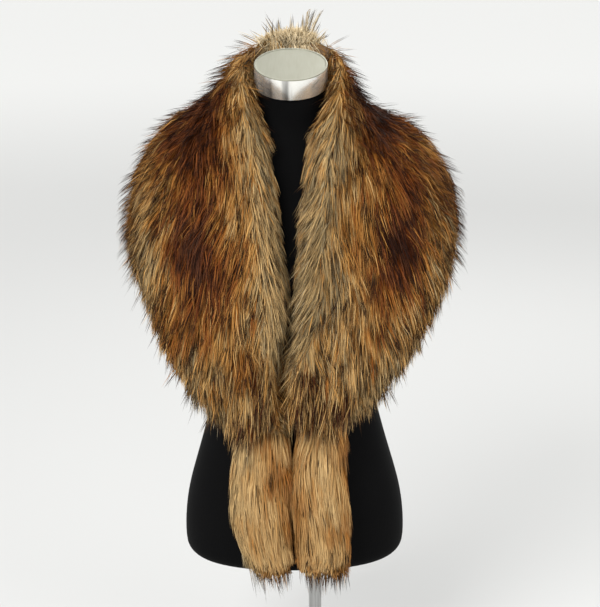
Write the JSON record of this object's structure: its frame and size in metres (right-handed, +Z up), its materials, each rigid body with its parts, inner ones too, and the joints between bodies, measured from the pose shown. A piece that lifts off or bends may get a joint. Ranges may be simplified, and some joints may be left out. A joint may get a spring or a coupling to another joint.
{
  "type": "fur collar wrap on dress form",
  "caption": "Long-pile fur collar wrap with rolled lapels and hanging tails, worn on a limbless jersey dress form with a metal neck cap and a pole stand.",
  "frame": {"origin": "on the floor plane at the underside of the round foot, under the centre line of the dress form", "axes": "+Z up, -Y the way the dress form faces, +X to the right as seen from the front"},
  "size_m": [0.4828, 0.3446, 1.03],
  "materials": {
    "jersey": "black stretch jersey",
    "cap_metal": "polished band, satin top",
    "stand_metal": "brushed",
    "panel_fur": "long brown pile with dark tips",
    "tail_fur": "long golden tan pile"
  },
  "bodies": {
    "root": {"form_body": "jersey", "form_neck_cap": "cap_metal", "form_pole": "stand_metal", "form_foot": "stand_metal", "collar_panel_left": "panel_fur", "collar_panel_right": "panel_fur", "collar_tail_left": "tail_fur", "collar_tail_right": "tail_fur"}
  },
  "joints": []
}
